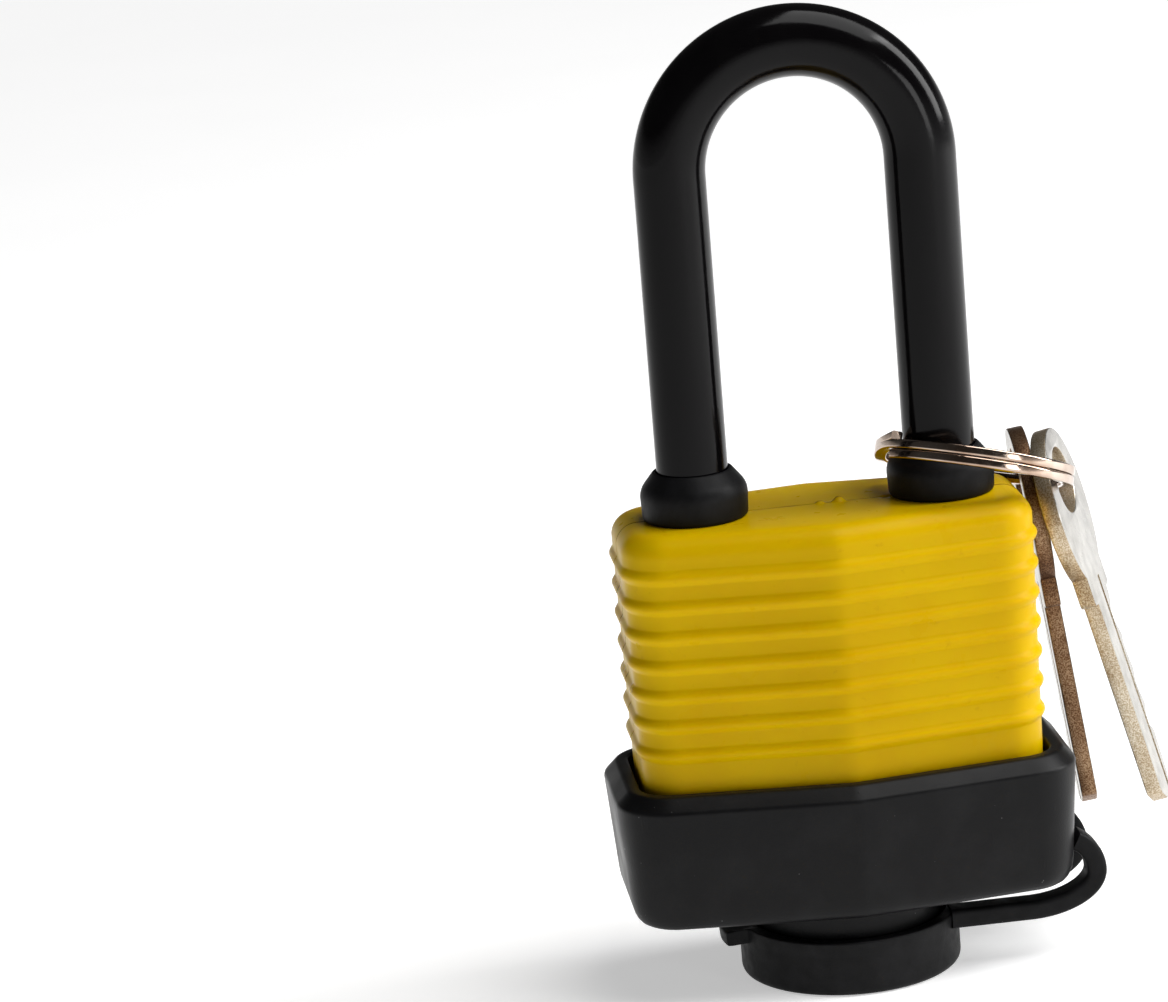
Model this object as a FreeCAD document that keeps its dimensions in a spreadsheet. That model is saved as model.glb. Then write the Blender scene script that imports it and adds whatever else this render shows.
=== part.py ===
# Laminated padlock: plastic jacket, bottom cover with a keyhole cap, long sleeved shackle,
# pin tumbler cylinder, two locking dogs, and two keys on a split ring.
# Millimetres. Origin at the centre of the cap's bottom face, +Z up, the jacket's front towards -Y.
import FreeCAD, Part
import math
import os
import re
import Sketcher
from FreeCAD import Placement, Rotation, Vector

doc = FreeCAD.newDocument("padlock")

SIZES = {
    # levels, from the surface that the cap stands on
    "cap_height": 6.2,
    "cover_base": 9.0,
    "stack_base": 11.2,
    "cover_rim": 24.3,
    "body_top": 52.5,
    "arc_centre": 89.7,
    # plate stack
    "plate_thick": 1.5,
    "plate_half_width": 20.3,
    "plate_centre_depth": 9.8,
    "plate_corner_depth": 6.9,
    "plate_corner_radius": 3.5,
    # jacket
    "jacket_half_width": 22.4,
    "jacket_centre_depth": 12.0,
    "jacket_corner_depth": 8.7,
    "jacket_corner_radius": 5.0,
    "jacket_crease_radius": 4.0,
    "jacket_edge": 2.2,
    "jacket_skirt": 11.4,
    "jacket_clear": 0.2,
    "roof_thick": 2.1,
    "rib_top": 48.18,
    "rib_pitch": 3.313,
    "rib_radius": 0.6,
    # bottom cover
    "cover_half_width": 25.5,
    "cover_centre_depth": 14.9,
    "cover_corner_depth": 11.4,
    "cover_corner_radius": 6.5,
    "cover_draft": 4.4,
    "cover_floor": 2.0,
    "cover_bevel": 1.5,
    "cover_edge": 1.8,
    "neck_radius": 10.5,
    "neck_bore": 8.6,
    "neck_end": 3.2,
    # keyhole cap and its strap
    "cap_radius": 12.2,
    "cap_wall": 1.3,
    "cap_floor": 1.5,
    "tab_length": 2.4,
    "tab_width": 6.0,
    "strap_thick": 1.8,
    "strap_width": 2.4,
    "strap_offset": 5.0,
    "strap_run": 5.3,
    "strap_bend": 3.9,
    "strap_bend_out": 23.2,
    "strap_start": 64.0,
    # shackle
    "leg_pitch": 27.12,
    "steel_radius": 3.175,
    "sleeve_radius": 3.9,
    "sleeve_start": 53.2,
    "toe_end": 41.2,
    "heel_end": 22.6,
    "lift": 17.0,
    "flat_depth": 1.3,
    "notch_depth": 1.9,
    "leg_clear": 0.1,
    # collars
    "collar_radius": 5.9,
    "collar_height": 3.3,
    "collar_cone": 2.0,
    "collar_tip": 4.3,
    "collar_bore": 4.0,
    "spigot_radius": 4.9,
    # rivets and heel pin
    "rivet_radius": 1.2,
    "rivet_out": 17.9,
    "rivet_back": 4.4,
    "fixed_clear": 0.05,
    "heel_pin_radius": 1.1,
    "heel_pin_length": 5.2,
    # cylinder
    "housing_radius": 6.6,
    "bible_half": 2.4,
    "bible_depth": 8.6,
    "plug_radius": 5.0,
    "plug_clear": 0.06,
    "keyway_half": 1.1,
    "keyway_deep": 4.0,
    "keyway_high": 3.6,
    "pin_radius": 1.15,
    "pin_pitch": 4.2,
    "pin_first": 16.6,
    "driver_length": 1.7,
    "pin_cover_thick": 0.5,
    "spring_wire": 0.2,
    # plug tail and locking dogs
    "tail_radius": 3.0,
    "tail_disc": 3.0,
    "drive_radius": 1.6,
    "drive_pin": 0.7,
    "clip_radius": 4.6,
    "dog_low": 42.9,
    "dog_thick": 2.6,
    "dog_inner": 6.9,
    "dog_outer": 11.9,
    "dog_half": 5.2,
    "tongue_reach": 1.9,
    "tongue_wide": 3.9,
    "dog_spring_back": 6.6,
    "dog_spring_radius": 1.0,
    # key ring and keys
    "ring_radius": 10.3,
    "ring_band": 1.4,
    "ring_stack": 2.2,
    "ring_x": 17.6,
    "ring_y": 1.5,
    "ring_z": 54.8,
    "ring_fall_x": 0.26,
    "ring_fall_y": 0.27,
    "key_thick": 1.8,
    "bow_radius": 9.0,
    "key_hole_wide": 9.4,
    "key_hole_high": 7.4,
    "key_hole_drop": 5.9,
    "blade_half": 3.7,
    "key_length": 43.8,
}

RIB_COUNT = 7
PIN_COUNT = 4
DIAGONAL = f"{math.sqrt(0.5):.6f}"
# how far a dog is drawn in when the plug has turned a quarter turn
THROW = f"2*drive_radius*{DIAGONAL}"
# the lock is shown shut but not locked: the plug and its tail are a quarter turn on
QUARTER = Rotation(Vector(0, 0, 1), 90)
PLATES_BELOW_HEEL = 3
PLATES_ROUND_CYLINDER = 12
PLATES_ROUND_TAIL = 3
PLATES_ROUND_TOE = 2
PLATES_ROUND_DOGS = 2
PLATES_ON_TOP = 3

sheet = doc.addObject("Spreadsheet::Sheet", "sizes")
for row, (alias, number) in enumerate(SIZES.items(), start=1):
    sheet.set(f"A{row}", alias)
    sheet.set(f"B{row}", str(number))
    sheet.setAlias(f"B{row}", alias)
doc.recompute()


def bound(text):
    """A size written in plain words, as an expression on the sheet."""
    return re.sub(r"[a-z_]{3,}", lambda m: f"sizes.{m[0]}" if m[0] in SIZES else m[0], text)


scratch = doc.addObject("App::FeaturePython", "scratch")


def size(text):
    """The present value of such an expression, in millimetres."""
    return float(scratch.evalExpression(bound(text)))


def bind(thing, **properties):
    for name, text in properties.items():
        thing.setExpression(name.replace("__", "."), bound(text))


# ---- primitives and booleans --------------------

def cylinder(name, radius, low, high, x="0", y="0"):
    made = doc.addObject("Part::Cylinder", name)
    bind(made, Radius=radius, Height=f"({high})-({low})")
    bind(made, Placement__Base__x=x, Placement__Base__y=y, Placement__Base__z=low)
    return made


def cone(name, radius_low, radius_high, low, high, x="0", y="0"):
    made = doc.addObject("Part::Cone", name)
    bind(made, Radius1=radius_low, Radius2=radius_high, Height=f"({high})-({low})")
    bind(made, Placement__Base__x=x, Placement__Base__y=y, Placement__Base__z=low)
    return made


def block(name, x, y, z):
    """A box between the two expressions in each of x, y and z."""
    made = doc.addObject("Part::Box", name)
    bind(made, Length=f"({x[1]})-({x[0]})", Width=f"({y[1]})-({y[0]})", Height=f"({z[1]})-({z[0]})")
    bind(made, Placement__Base__x=x[0], Placement__Base__y=y[0], Placement__Base__z=z[0])
    return made


def joined(name, pieces):
    made = doc.addObject("Part::MultiFuse", name)
    made.Shapes = pieces
    made.Refine = True
    return made


def cut(name, base, tool):
    made = doc.addObject("Part::Cut", name)
    made.Base = base
    made.Tool = tool
    return made


def common(name, pieces):
    made = doc.addObject("Part::MultiCommon", name)
    made.Shapes = pieces
    return made


def copies(name, piece, moves):
    """A group of separate solids: one piece repeated at each placement."""
    doc.recompute()
    made = doc.addObject("Part::Feature", name)
    made.Shape = Part.makeCompound([piece.Shape.transformed(move.toMatrix(), True) for move in moves])
    return made


# ---- sketched bodies --------------------

def new_body(name):
    return doc.addObject("PartDesign::Body", name)


def sketch_on(body, name, role, level="0"):
    plane = next(p for p in body.Origin.OriginFeatures if p.Role == role)
    sketch = body.newObject("Sketcher::SketchObject", name)
    sketch.AttachmentSupport = [(plane, "")]
    sketch.MapMode = "FlatFace"
    bind(sketch, AttachmentOffset__Base__z=level)
    return sketch


def hold_point(sketch, edge, end, across, along):
    """Fix one end of an edge at two sizes from the sketch's origin; None leaves that way free."""
    for kind, text in (("DistanceX", across), ("DistanceY", along)):
        if text is None:
            continue
        number = size(text)
        if abs(number) < 1e-9:
            own_axis = -2 if kind == "DistanceX" else -1
            sketch.addConstraint(Sketcher.Constraint("PointOnObject", edge, end, own_axis))
            continue
        at = sketch.addConstraint(Sketcher.Constraint(kind, -1, 1, edge, end, number))
        sketch.setExpression(f"Constraints[{at}]", bound(text))


def polygon(sketch, corners):
    """A closed outline of straight edges through the corners, each a pair of expressions."""
    first = sketch.GeometryCount
    spots = [Vector(size(a), size(b), 0) for a, b in corners]
    count = len(corners)
    for i in range(count):
        sketch.addGeometry(Part.LineSegment(spots[i], spots[(i + 1) % count]), False)
    for i in range(count):
        here = first + i
        after = first + (i + 1) % count
        sketch.addConstraint(Sketcher.Constraint("Coincident", here, 2, after, 1))
    for i, (a, b) in enumerate(corners):
        hold_point(sketch, first + i, 1, a, b)


def circle(sketch, radius, across="0", along="0"):
    middle = Vector(size(across), size(along), 0)
    edge = sketch.addGeometry(Part.Circle(middle, Vector(0, 0, 1), size(radius)), False)
    at = sketch.addConstraint(Sketcher.Constraint("Radius", edge, size(radius)))
    sketch.setExpression(f"Constraints[{at}]", bound(radius))
    hold_point(sketch, edge, 3, across, along)


def hexagon(half_width, centre_depth, corner_depth):
    """The jacket's outline: a long hexagon with a shallow point at front and back."""
    return [
        (half_width, f"-({corner_depth})"),
        (half_width, corner_depth),
        ("0", centre_depth),
        (f"-({half_width})", corner_depth),
        (f"-({half_width})", f"-({corner_depth})"),
        ("0", f"-({centre_depth})"),
    ]


def pad(body, sketch, length, down=False, draft=None):
    made = body.newObject("PartDesign::Pad", sketch.Name + "_pad")
    made.Profile = sketch
    made.Reversed = down
    bind(made, Length=length)
    if draft:
        bind(made, TaperAngle=draft)
    body.Tip = made
    doc.recompute()
    return made


def pocket(body, sketch, length, up=False):
    """Cut along a sketch, and stop if the cut takes nothing away."""
    before = body.Shape.Volume
    made = body.newObject("PartDesign::Pocket", sketch.Name + "_pocket")
    made.Profile = sketch
    made.Reversed = up
    bind(made, Length=length)
    body.Tip = made
    doc.recompute()
    if body.Shape.Volume > before - 1e-6:
        raise RuntimeError(f"{made.Name} cuts nothing")
    return made


def edges_where(shape, test):
    return [f"Edge{i}" for i, edge in enumerate(shape.Edges, start=1) if test(edge)]


def rounded(body, name, radius, test, kind="Fillet"):
    doc.recompute()
    base = body.Tip
    made = body.newObject("PartDesign::" + kind, name)
    made.Base = (base, edges_where(base.Shape, test))
    bind(made, **{"Radius" if kind == "Fillet" else "Size": radius})
    body.Tip = made
    doc.recompute()
    return made


def is_upright(edge):
    ends = [v.Point for v in edge.Vertexes]
    return len(ends) == 2 and abs(ends[0].z - ends[1].z) > 1


def at_corner(edge):
    return is_upright(edge) and abs(edge.Vertexes[0].Point.x) > 5


def at_crease(edge):
    return is_upright(edge) and abs(edge.Vertexes[0].Point.x) < 1


def at_level(level):
    height = size(level)
    return lambda edge: all(abs(v.Point.z - height) < 1e-4 for v in edge.Vertexes)


# ---- jacket --------------------

def jacket_blank():
    """The outer form of both shells together, with rounded corners, creases and top edge."""
    body = new_body("jacket_blank")
    outline = sketch_on(body, "jacket_outline", "XY_Plane", "body_top")
    polygon(outline, hexagon("jacket_half_width", "jacket_centre_depth", "jacket_corner_depth"))
    pad(body, outline, "body_top-jacket_skirt", down=True)
    rounded(body, "jacket_corners", "jacket_corner_radius", at_corner)
    rounded(body, "jacket_creases", "jacket_crease_radius", at_crease)
    rounded(body, "jacket_top_edge", "jacket_edge", at_level("body_top"))
    return body


def jacket_rib(name, blank, level):
    """A half-round bead round the jacket: its section at one level, grown and rounded."""
    radius = size("rib_radius")
    wire = blank.Shape.slice(Vector(0, 0, 1), level)[0]
    face = Part.Face(wire).makeOffset2D(radius, fill=False)
    face.translate(Vector(0, 0, -radius))
    bead = face.extrude(Vector(0, 0, 2 * radius))
    rims = [e for e in bead.Edges if max(abs(v.Point.z - e.Vertexes[0].Point.z) for v in e.Vertexes) < 1e-6]
    made = doc.addObject("Part::Feature", name)
    made.Shape = bead.makeFillet(0.9 * radius, rims)
    return made


def jacket_shells():
    """Front and rear shells, which meet along the jacket's middle."""
    blank = jacket_blank()
    levels = [size("rib_top") - i * size("rib_pitch") for i in range(RIB_COUNT)]
    ribs = [jacket_rib(f"rib_{i + 1}", blank, level) for i, level in enumerate(levels)]
    outside = joined("jacket_outside", [blank, *ribs])
    inside = new_body("jacket_inside")
    outline = sketch_on(inside, "inside_outline", "XY_Plane", "jacket_skirt-1")
    gap = "jacket_clear"
    sides = [f"{side}+{gap}" for side in ("plate_half_width", "plate_centre_depth", "plate_corner_depth")]
    polygon(outline, hexagon(*sides))
    pad(inside, outline, "body_top-roof_thick-jacket_skirt+1")
    rounded(inside, "inside_corners", f"plate_corner_radius+{gap}", at_corner)
    hole = "spigot_radius+fixed_clear"
    holes = [
        cylinder(f"jacket_leg_hole_{side}", hole, "body_top-5", "body_top+5", sign + "leg_pitch/2")
        for side, sign in (("left", "-"), ("right", ""))
    ]
    hollow = cut("jacket_hollow", outside, joined("jacket_void", [inside, *holes]))
    for name, near, far in (("shell_front", "-30", "0"), ("shell_rear", "0", "30")):
        half = block(name + "_side", ("-30", "30"), (near, far), ("0", "60"))
        common(name, [hollow, half])


# ---- bottom cover, cap and strap --------------------

def base_cover():
    """The tapered cup that closes the jacket's bottom, with the keyhole neck under it."""
    body = new_body("base_cover")
    outline = sketch_on(body, "cover_outline", "XY_Plane", "cover_rim")
    polygon(outline, hexagon("cover_half_width", "cover_centre_depth", "cover_corner_depth"))
    pad(body, outline, "cover_rim-cover_base", down=True, draft="-cover_draft")
    rounded(body, "cover_corners", "cover_corner_radius", at_corner)
    rounded(body, "cover_bottom_edge", "cover_edge", at_level("cover_base"), kind="Chamfer")
    rounded(body, "cover_rim_bevel", "cover_bevel", at_level("cover_rim"), kind="Chamfer")
    well = sketch_on(body, "cover_well", "XY_Plane", "cover_rim")
    gap = "jacket_clear"
    sides = [f"{side}+{gap}" for side in ("jacket_half_width", "jacket_centre_depth", "jacket_corner_depth")]
    polygon(well, hexagon(*sides))
    pocket(body, well, "cover_rim-cover_base-cover_floor")
    inner = size(f"jacket_half_width+{gap}")
    rounded(body, "cover_well_corners", "jacket_corner_radius",
            lambda e: is_upright(e) and abs(abs(e.Vertexes[0].Point.x) - inner) < 1e-3)
    neck = sketch_on(body, "cover_neck", "XY_Plane", "neck_end")
    circle(neck, "neck_radius")
    pad(body, neck, "cover_base-neck_end+0.5")
    bore = sketch_on(body, "cover_bore", "XY_Plane", "neck_end")
    circle(bore, "neck_bore")
    pocket(body, bore, "cover_base+cover_floor-neck_end+1", up=True)


def keyhole_cap():
    """The snap-on cup that seals the neck, with a pull tab on its left."""
    cup = cylinder("cap_cup", "cap_radius", "0", "cap_height")
    tab = block("cap_tab", ("-cap_radius-tab_length", "-cap_radius+1"), ("-tab_width/2", "tab_width/2"),
                ("cap_height-1.6", "cap_height"))
    hollow = cylinder("cap_hollow", "cap_radius-cap_wall", "cap_floor", "cap_height+1")
    cut("keyhole_cap_sharp", joined("cap_solid", [cup, tab]), hollow)
    softened = doc.addObject("Part::Chamfer", "keyhole_cap")
    softened.Base = doc.getObject("keyhole_cap_sharp")
    doc.recompute()
    rims = [i for i, e in enumerate(softened.Base.Shape.Edges, start=1)
            if e.Closed and abs(e.Vertexes[0].Point.z) < 1e-6]
    softened.Edges = [(i, 0.6, 0.6) for i in rims]


def cap_strap():
    """Two moulded bands: out of the cover's end wall, round a half turn, and back to the cap."""
    bands = []
    for side, sign in (("front", "-"), ("rear", "")):
        body = new_body(f"strap_{side}")
        path = sketch_on(body, f"strap_{side}_side", "XZ_Plane", f"({sign}(-strap_offset))-strap_width/2")
        half = size("strap_thick/2")
        run = size("strap_run")
        bend = size("strap_bend")
        out = size("strap_bend_out")
        centre = Vector(out, run + bend, 0)
        start = math.radians(size("strap_start"))
        cap_end = size("cap_radius-1.9")
        for radius in (bend + half, bend - half):
            around = Part.Circle(centre, Vector(0, 0, 1), radius)
            path.addGeometry(Part.ArcOfCircle(around, -math.pi / 2, start), False)
        low, high = run - half, run + half
        path.addGeometry(Part.LineSegment(Vector(out, low, 0), Vector(cap_end, low, 0)), False)
        path.addGeometry(Part.LineSegment(Vector(cap_end, low, 0), Vector(cap_end, high, 0)), False)
        path.addGeometry(Part.LineSegment(Vector(cap_end, high, 0), Vector(out, high, 0)), False)
        tips = [centre + Vector(math.cos(start), math.sin(start), 0) * r for r in (bend + half, bend - half)]
        path.addGeometry(Part.LineSegment(*tips), False)
        pad(body, path, "strap_width")
        bands.append(body)
    doc.recompute()
    made = doc.addObject("Part::Compound", "cap_strap")
    made.Links = bands


# ---- shackle --------------------

def bow(name, radius, left_end, right_end):
    """A round bar along the shackle's line: up the left leg, over the half turn, down the right."""
    body = new_body(name)
    path = sketch_on(body, name + "_path", "XZ_Plane")
    half = size("leg_pitch/2")
    top = size("arc_centre")
    around = Part.Circle(Vector(0, top, 0), Vector(0, 0, 1), half)
    left_leg = Part.LineSegment(Vector(-half, size(left_end), 0), Vector(-half, top, 0))
    right_leg = Part.LineSegment(Vector(half, top, 0), Vector(half, size(right_end), 0))
    left = path.addGeometry(left_leg, False)
    turn = path.addGeometry(Part.ArcOfCircle(around, 0, math.pi), False)
    right = path.addGeometry(right_leg, False)
    path.addConstraint(Sketcher.Constraint("Coincident", left, 2, turn, 2))
    path.addConstraint(Sketcher.Constraint("Coincident", turn, 1, right, 1))
    hold_point(path, left, 1, "-leg_pitch/2", left_end)
    hold_point(path, left, 2, "-leg_pitch/2", "arc_centre")
    hold_point(path, turn, 3, "0", "arc_centre")
    hold_point(path, right, 1, None, "arc_centre")
    hold_point(path, right, 2, "leg_pitch/2", right_end)
    section = sketch_on(body, name + "_section", "XY_Plane", left_end)
    circle(section, radius, "-leg_pitch/2")
    pipe = body.newObject("PartDesign::AdditivePipe", name + "_bar")
    pipe.Profile = section
    pipe.Spine = path
    body.Tip = pipe
    doc.recompute()
    return body


def leg_notch(name, side, low):
    """The pocket that a dog's tip enters, on the inside of one leg."""
    near = "leg_pitch/2-5"
    far = "leg_pitch/2-steel_radius+notch_depth"
    across = (near, far)
    if side == "-":
        across = (f"-({far})", f"-({near})")
    return block(name, across, ("-5", "5"), (f"{low}-0.3", f"{low}+dog_thick+0.3"))


def shackle():
    """Steel bow: notches inside the legs, and a flat with a groove on the heel's outside."""
    bar = bow("shackle_bar", "steel_radius", "toe_end", "heel_end")
    notches = [
        leg_notch("toe_notch", "-", "dog_low"),
        leg_notch("heel_notch", "", "dog_low"),
        leg_notch("heel_notch_low", "", "dog_low-lift"),
    ]
    pin_level = "stack_base+24*plate_thick"
    flat_low = f"{pin_level}-lift-heel_pin_radius-0.3"
    outward = ("leg_pitch/2+steel_radius-flat_depth", "leg_pitch/2+5")
    flat = block("heel_flat", outward, ("-5", "5"), (flat_low, f"{pin_level}+heel_pin_radius+0.3"))
    around = cylinder("groove_outside", "steel_radius+1", flat_low, f"{flat_low}+2.9", "leg_pitch/2")
    core = cylinder("groove_core", "steel_radius-flat_depth", f"{flat_low}-1", f"{flat_low}+4",
                    "leg_pitch/2")
    groove = cut("heel_groove", around, core)
    cut("shackle", bar, joined("shackle_cuts", [*notches, flat, groove]))


def shackle_sleeve():
    """The vinyl tube pulled over the exposed steel."""
    outside = bow("sleeve_outside", "sleeve_radius", "sleeve_start", "sleeve_start")
    inside = bow("sleeve_inside", "steel_radius+fixed_clear", "sleeve_start-1", "sleeve_start-1")
    cut("shackle_sleeve", outside, inside)


def collars():
    """Seals in the jacket's roof, one round each leg: a spigot, a drum and a cone."""
    for side, sign in (("left", "-"), ("right", "")):
        x = sign + "leg_pitch/2"
        name = "collar_" + side
        solid = joined(name + "_solid", [
            cylinder(name + "_spigot", "spigot_radius", "body_top-roof_thick", "body_top", x),
            cylinder(name + "_drum", "collar_radius", "body_top", "body_top+collar_height", x),
            cone(name + "_cone", "collar_radius", "collar_tip", "body_top+collar_height",
                 "body_top+collar_height+collar_cone", x),
        ])
        cut(name, solid, cylinder(name + "_bore", "collar_bore", "body_top-5", "body_top+9", x))


# ---- plate stack --------------------

def plate_group(name, first, count, holes):
    """Stamped plates that are alike, one on another, with the same holes through each."""
    body = new_body(name + "_blank")
    low = f"stack_base+{first}*plate_thick"
    outline = sketch_on(body, name + "_outline", "XY_Plane", low)
    polygon(outline, hexagon("plate_half_width", "plate_centre_depth", "plate_corner_depth"))
    pad(body, outline, "plate_thick")
    rounded(body, name + "_corners", "plate_corner_radius", at_corner)
    tool = joined(name + "_holes", [*holes, *rivet_bars(name + "_rivet_hole", "rivet_radius+fixed_clear")])
    punched = cut(name + "_plate", body, tool)
    moves = [Placement(Vector(0, 0, i * size("plate_thick")), Rotation()) for i in range(count)]
    copies(name, punched, moves)


def rivet_bars(name, radius):
    high = "body_top-roof_thick-0.2"
    bars = []
    for i, (x, y) in enumerate((("", ""), ("-", ""), ("-", "-"), ("", "-"))):
        bar = cylinder(f"{name}_{i + 1}", radius, "stack_base", high, x + "rivet_out", y + "rivet_back")
        bars.append(bar)
    return bars


def through(name, radius, x="0", y="0"):
    return cylinder(name, radius, "stack_base-1", "body_top", x, y)


def plate_stack():
    leg = "steel_radius+leg_clear"
    heel, toe = "leg_pitch/2", "-leg_pitch/2"
    core = "housing_radius+fixed_clear"
    bible = ("-bible_half-fixed_clear", "bible_half+fixed_clear")
    deep = "bible_depth+fixed_clear"
    tall = ("stack_base-1", "body_top")
    level = 0
    plate_group("bottom_plate", level, 1, [through("bottom_hole", "plug_radius+0.2")])
    level += 1
    plate_group("lower_plates", level, PLATES_BELOW_HEEL,
                [through("lower_core", core), block("lower_bible", bible, ("0", deep), tall)])
    level += PLATES_BELOW_HEEL
    plate_group("cylinder_plates", level, PLATES_ROUND_CYLINDER,
                [through("middle_core", core), block("middle_bible", bible, ("0", deep), tall),
                 through("middle_heel", leg, heel)])
    level += PLATES_ROUND_CYLINDER
    plate_group("tail_plates", level, PLATES_ROUND_TAIL,
                [through("tail_core", "clip_radius+0.5"), through("tail_heel", leg, heel)])
    level += PLATES_ROUND_TAIL
    plate_group("toe_plates", level, PLATES_ROUND_TOE,
                [through("toe_core", "tail_disc+0.3"), through("toe_heel", leg, heel),
                 through("toe_toe", leg, toe)])
    level += PLATES_ROUND_TOE
    wide = "dog_half+0.2"
    chamber = block("dog_chamber", ("-leg_pitch/2", "leg_pitch/2"), (f"-({wide})", wide), tall)
    spring_room = block("dog_spring_room", ("-dog_outer+0.2", "dog_outer-0.2"),
                        ("0", "dog_spring_back+1.3"), tall)
    plate_group("latch_plates", level, PLATES_ROUND_DOGS,
                [chamber, spring_room, through("latch_heel", leg, heel), through("latch_toe", leg, toe)])
    level += PLATES_ROUND_DOGS
    slot_x = "leg_pitch/2+steel_radius-flat_depth+0.15+heel_pin_radius"
    slot = block("heel_pin_slot", (f"{slot_x}-heel_pin_radius-0.05", f"{slot_x}+heel_pin_radius+0.05"),
                 ("-heel_pin_length/2-0.1", "heel_pin_length/2+0.1"), tall)
    plate_group("pin_plates", level, 2, [through("pin_heel", leg, heel), through("pin_toe", leg, toe), slot])
    level += 2
    plate_group("top_plate", level, 1, [through("top_heel", leg, heel), through("top_toe", leg, toe)])


def rivets():
    made = doc.addObject("Part::Compound", "rivets")
    made.Links = rivet_bars("rivet", "rivet_radius")


def heel_pin():
    """A cross pin that the heel's flat slides on, so the shackle can't come out."""
    made = doc.addObject("Part::Cylinder", "heel_pin")
    bind(made, Radius="heel_pin_radius", Height="heel_pin_length")
    x = "leg_pitch/2+steel_radius-flat_depth+0.15+heel_pin_radius"
    made.Placement = Placement(Vector(0, 0, 0), Rotation(Vector(1, 0, 0), -90))
    bind(made, Placement__Base__x=x, Placement__Base__y="-heel_pin_length/2",
         Placement__Base__z="stack_base+24*plate_thick")


# ---- springs --------------------

def coil(name, radius, wire, length, turns, move):
    """A round-wire compression spring along Z, placed by move."""
    pitch = length / turns
    line = Part.makeHelix(pitch, length, radius)
    ring = Part.Wire(Part.makeCircle(wire, Vector(radius, 0, 0), Vector(0, 1, 0)))
    sweep = Part.BRepOffsetAPI.MakePipeShell(Part.Wire(line))
    sweep.setFrenetMode(True)
    sweep.add(ring)
    sweep.build()
    sweep.makeSolid()
    solid = sweep.shape()
    made = doc.addObject("Part::Feature", name)
    made.Shape = solid
    made.Placement = move
    return made


def shackle_spring():
    """It pushes on the heel's end, and pops the shackle up when the dogs let go."""
    wire = 0.45
    low = size("stack_base+(1+3)*plate_thick") + wire + 0.05
    high = size("heel_end") - wire - 0.05
    move = Placement(Vector(size("leg_pitch/2"), 0, low), Rotation())
    coil("shackle_spring", 2.4, wire, high - low, 3, move)


def dog_spring():
    """It pushes both dogs out, into the shackle's notches."""
    wire = size("spring_wire")
    reach = size("dog_inner") - size(THROW) - wire - 0.1
    level = size("dog_low+dog_thick/2")
    move = Placement(Vector(-reach, size("dog_spring_back"), level), Rotation(Vector(0, 1, 0), 90))
    coil("dog_spring", size("dog_spring_radius-0.2"), wire, 2 * reach, 14, move)


# ---- cylinder --------------------

def pin_levels():
    return [size("pin_first") + i * size("pin_pitch") for i in range(PIN_COUNT)]


def radial_bars(name, radius, near, far):
    """One bar along +Y at each pin's level, between two distances from the plug's axis."""
    bars = []
    for i, level in enumerate(pin_levels()):
        bar = doc.addObject("Part::Cylinder", f"{name}_{i + 1}")
        bar.Placement = Placement(Vector(0, 0, level), Rotation(Vector(1, 0, 0), -90))
        bind(bar, Radius=radius, Height=f"({far})-({near})", Placement__Base__y=near)
        bars.append(bar)
    return bars


def cylinder_top():
    return f"stack_base+{1 + PLATES_BELOW_HEEL + PLATES_ROUND_CYLINDER}*plate_thick"


def cylinder_housing():
    low, high = "stack_base+plate_thick+0.05", cylinder_top() + "-0.05"
    solid = joined("housing_solid", [
        cylinder("housing_drum", "housing_radius", low, high),
        block("housing_bible", ("-bible_half", "bible_half"), ("0", "bible_depth-pin_cover_thick"),
              (low, high)),
    ])
    holes = radial_bars("housing_pin_hole", "pin_radius+fixed_clear", "0", "12")
    bore = cylinder("housing_bore", "plug_radius+plug_clear", "stack_base", "body_top")
    cut("cylinder_housing", solid, joined("housing_holes", [bore, *holes]))


def pin_cover():
    block("pin_cover", ("-bible_half", "bible_half"), ("bible_depth-pin_cover_thick", "bible_depth"),
          ("stack_base+plate_thick+0.05", cylinder_top() + "-0.05"))


def driver_pins():
    made = doc.addObject("Part::Compound", "driver_pins")
    made.Links = radial_bars("driver_pin", "pin_radius", "plug_radius+plug_clear+0.02",
                             "plug_radius+plug_clear+0.02+driver_length")


def pin_springs():
    wire = size("spring_wire")
    low = size("plug_radius+plug_clear+0.02+driver_length") + wire + 0.02
    high = size("bible_depth-pin_cover_thick") - wire - 0.02
    springs = []
    for i, level in enumerate(pin_levels()):
        move = Placement(Vector(0, low, level), Rotation(Vector(1, 0, 0), -90))
        springs.append(coil(f"pin_spring_{i + 1}", 0.75, wire, high - low, 2, move))
    made = doc.addObject("Part::Compound", "pin_springs")
    made.Links = springs


def plug():
    """The turning core: a keyway up from its face, and a hole for each key pin."""
    face = "stack_base+0.2"
    top = cylinder_top()
    core = cylinder("plug_core", "plug_radius", face, top + "+0.4")
    keyway = block("keyway", ("-keyway_half", "keyway_half"), ("-keyway_deep", "keyway_high"),
                   (face + "-1", top + "-2.5"))
    holes = radial_bars("plug_pin_hole", "pin_radius+fixed_clear", "0", "8")
    made = cut("plug", core, joined("plug_holes", [keyway, *holes]))
    made.Placement = Placement(Vector(0, 0, 0), QUARTER)


def key_pins():
    """Four pins of different lengths, standing at the shear line, turned with the plug."""
    pins = []
    for i, level in enumerate(pin_levels()):
        length = 2.9 + 0.45 * ((i * 2) % 3)
        pin = doc.addObject("Part::Cylinder", f"key_pin_{i + 1}")
        pin.Placement = Placement(Vector(0, 0, level), Rotation(Vector(1, 0, 0), -90))
        bind(pin, Radius="pin_radius", Height=str(length), Placement__Base__y=f"plug_radius-0.06-{length}")
        pins.append(pin)
    made = doc.addObject("Part::Compound", "key_pins")
    made.Links = pins
    made.Placement = Placement(Vector(0, 0, 0), QUARTER)


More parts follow.
